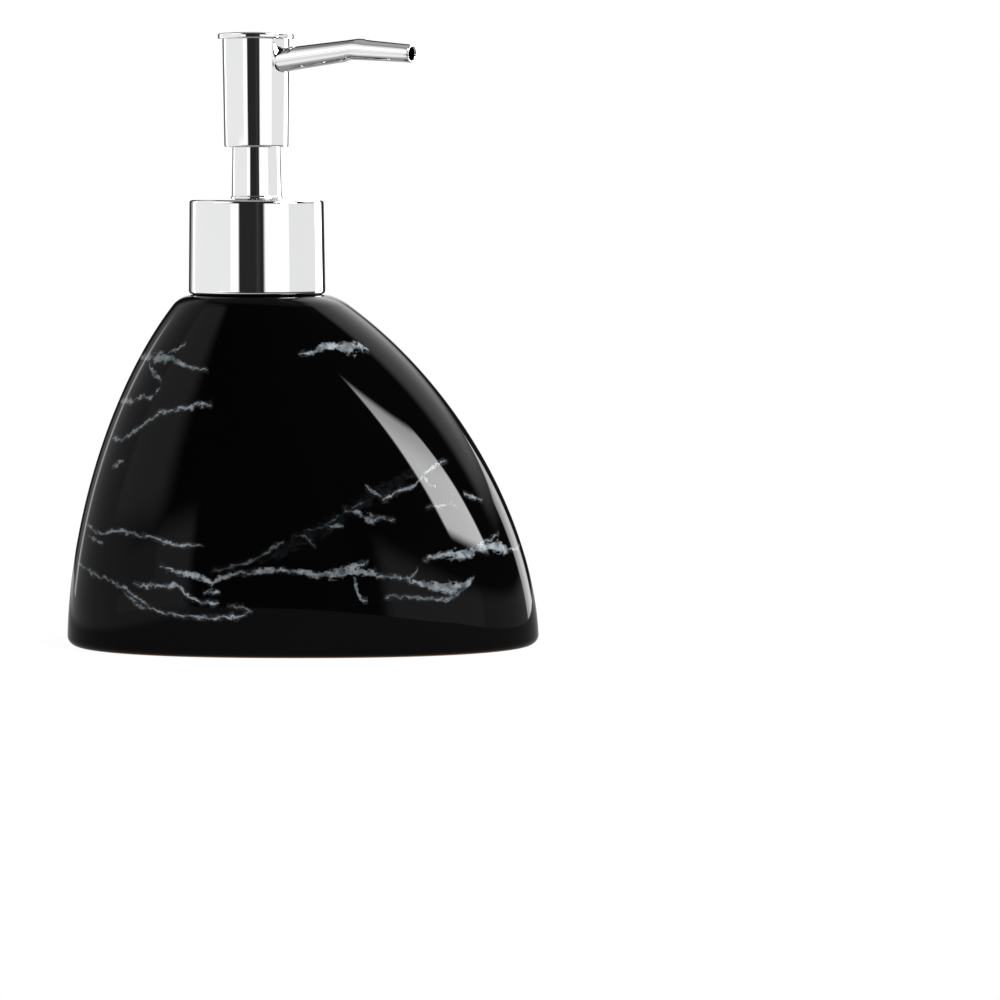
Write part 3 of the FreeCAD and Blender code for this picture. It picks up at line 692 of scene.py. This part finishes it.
PANELS = [
    (-141, -52, 14, -45, 50, 10, 1.2),  # wall on the left
    (-66, -27.5, 1.5, -5, 5, 2, 1.2),  # pale band on the left of the chrome
    (-43, -27.5, 2, -5, 5, 2, 1.6),  # white strip beside the dark band
    (-64, -27.5, 3, -5, -0.2, 0.5, 1.6),  # white foot of the head's pale band
    (-80, -42, 6, 6, 34, 4, 1.8),  # light on the spout
    (1, 9, 6, -40, 40, 10, 0.06),  # faint light inside the dark band
    (15.5, 149, 1.5, -5, 5, 2, 1.15),  # pale band on the right of the chrome
    (16, 61, 3, -5, 5, 2, 1.55),  # white strip beside the dark band
    (-134, -128, 1, -40, 22, 4, 4.5),  # line down the bottle's left edge
    (122, 140, 2, -35, 16, 1, 8.5),  # highlight on the bottle's right edge
    (122, 146, 2, -35, 16, 1, 6.5),  # its softer outer side
    (98, 180, 8, 19, 60, 6, 3.0),  # sheen on the right shoulder
    (171, 181, 2, -30, 30, 5, 1.3),  # behind, up to the seam of the azimuth
    (-181, -168, 2, -30, 30, 5, 1.3),  # behind, past the seam
    (-181, 181, 1, 55, 95, 5, 0.5),  # ceiling
]
STUDIO_DARK = 0.027

# The softbox has a panel's edges, but it leans, and it bends over above its middle.

SOFTBOX_TOP = 30.2
SOFTBOX = (43, 71.5, 1.0, 13, SOFTBOX_TOP, 1.2)
SOFTBOX_BEND = 0.045
SOFTBOX_LEAN = 0.65
SOFTBOX_MIDDLE = 22
SOFTBOX_BRIGHTNESS = 66.0
SOFTBOX_TOP_BRIGHTNESS = 40.0


def window(graph, value, low, high, softness):
    """One between low and high, and zero outside them."""
    rise = graph.ramp(value, low - softness, low + softness)
    fall = graph.ramp(value, high - softness, high + softness, 1.0, 0.0)
    return graph.math("MULTIPLY", rise, fall)


def panel_mask(graph, azimuth, elevation, edges):
    left, right, side_softness, low, high, end_softness = edges
    across = window(graph, azimuth, left, right, side_softness)
    upward = window(graph, elevation, low, high, end_softness)
    return graph.math("MULTIPLY", across, upward)


def softbox_light(graph, azimuth, elevation):
    above_middle = graph.math("SUBTRACT", elevation, SOFTBOX_MIDDLE)
    lean = graph.math("MULTIPLY", above_middle, SOFTBOX_LEAN)
    above = graph.math("MAXIMUM", above_middle, 0.0)
    bend = graph.math("MULTIPLY", graph.math("MULTIPLY", above, above), SOFTBOX_BEND)
    leaning = graph.math("ADD", graph.math("ADD", azimuth, lean), bend)
    fade = graph.ramp(elevation, SOFTBOX_MIDDLE, SOFTBOX_TOP, SOFTBOX_BRIGHTNESS, SOFTBOX_TOP_BRIGHTNESS)
    return graph.math("MULTIPLY", panel_mask(graph, leaning, elevation, SOFTBOX), fade)


def make_world():
    """A plain white background that lights the object by its panels."""
    world = bpy.data.worlds.new("studio")
    world.use_nodes = True
    bpy.context.scene.world = world
    graph = Graph(world.node_tree)
    direction = graph.node("ShaderNodeTexCoord").outputs["Generated"]
    split = graph.node("ShaderNodeSeparateXYZ", {0: direction})
    away = graph.math("MULTIPLY", split.outputs["Y"], -1.0)
    azimuth = graph.math("DEGREES", graph.math("ARCTAN2", split.outputs["X"], away))
    elevation = graph.math("DEGREES", graph.math("ARCSINE", split.outputs["Z"]))
    light = STUDIO_DARK
    for *edges, brightness in PANELS:
        mask = panel_mask(graph, azimuth, elevation, edges)
        light = graph.math("MAXIMUM", light, graph.math("MULTIPLY", mask, brightness))
    light = graph.math("MAXIMUM", light, softbox_light(graph, azimuth, elevation))
    seen = graph.node("ShaderNodeLightPath").outputs["Is Camera Ray"]
    unseen = graph.math("SUBTRACT", 1.0, seen)
    strength = graph.math("MULTIPLY_ADD", graph.math("SUBTRACT", light, 1.0), unseen, 1.0)
    background = graph.node("ShaderNodeBackground", {"Color": (1, 1, 1, 1), "Strength": strength})
    output = graph.node("ShaderNodeOutputWorld")
    graph.tree.links.new(background.outputs[0], output.inputs["Surface"])


# The floor glows, evenly white where it is seen. In reflections it is darker, with a brighter part on
# the left.

FLOOR_HALF_SIZE = 0.25
FLOOR_DROP = 0.02 * MM
FLOOR_GLOW = 0.95
REFLECTED_GLOW = 0.45
REFLECTED_LEFT_GLOW = 1.15
LEFT_PART_FULL = -0.15
LEFT_PART_EDGE = -0.10


def make_floor():
    side = FLOOR_HALF_SIZE
    corners = [Vector((x, y, 0)) for x, y in ((-side, -side), (side, -side), (side, side), (-side, side))]
    mesh = bpy.data.meshes.new("floor")
    mesh.from_pydata(corners, [], [(0, 1, 2, 3)])
    floor = bpy.data.objects.new("floor", mesh)
    floor.location.z = -FLOOR_DROP
    bpy.context.scene.collection.objects.link(floor)
    material, graph = new_material("lit white table")
    place = graph.object_place()
    tone = graph.colour_mix(graph.noise(place, 4.0), (0.055, 0.055, 0.055, 1), (0.065, 0.065, 0.065, 1))
    across = graph.node("ShaderNodeSeparateXYZ", {0: place}).outputs["X"]
    reflected = graph.ramp(across, LEFT_PART_FULL, LEFT_PART_EDGE, REFLECTED_LEFT_GLOW, REFLECTED_GLOW)
    seen = graph.node("ShaderNodeLightPath").outputs["Is Camera Ray"]
    glow = graph.math("MULTIPLY_ADD", graph.math("SUBTRACT", FLOOR_GLOW, reflected), seen, reflected)
    finish_material(graph, {"Base Color": tone, "Roughness": 0.9, "Specular IOR Level": 0.0,
                            "Emission Color": (1, 1, 1, 1), "Emission Strength": glow})
    mesh.materials.append(material)


def make_camera():
    data = bpy.data.cameras.new("camera")
    data.lens = CAMERA_LENS
    data.sensor_width = SENSOR_WIDTH
    data.clip_start = 0.01
    camera = bpy.data.objects.new("camera", data)
    place = Vector((PUMP_X + CAMERA_DISTANCE * math.sin(CAMERA_AZIMUTH),
                    -CAMERA_DISTANCE * math.cos(CAMERA_AZIMUTH), CAMERA_HEIGHT))
    heading = Matrix.Rotation(CAMERA_AZIMUTH - CAMERA_PAN, 4, "Z")
    tilt = Matrix.Rotation(math.radians(90) - CAMERA_TILT, 4, "X")
    roll = Matrix.Rotation(CAMERA_ROLL, 4, "Z")
    camera.matrix_world = Matrix.Translation(place) @ heading @ tilt @ roll
    bpy.context.scene.collection.objects.link(camera)
    bpy.context.scene.camera = camera


finishes = make_finishes()
dress_frame(finishes)
make_bottle()
make_turned("collar_shell", "closure", finishes["chrome_cover"], COLLAR)
make_turned("stem_sleeve", "pump_unit", finishes["chrome_cover"], SLEEVE)
make_turned("head_shell", "head", finishes["chrome_head"], HEAD_SHELL)
make_turned("head_cap", "head", finishes["chrome_head"], HEAD_CAP)
make_spout(finishes["chrome_head"])
make_spring(finishes["spring_steel"])
make_world()
make_floor()
make_camera()
bpy.context.scene.view_settings.view_transform = "Standard"
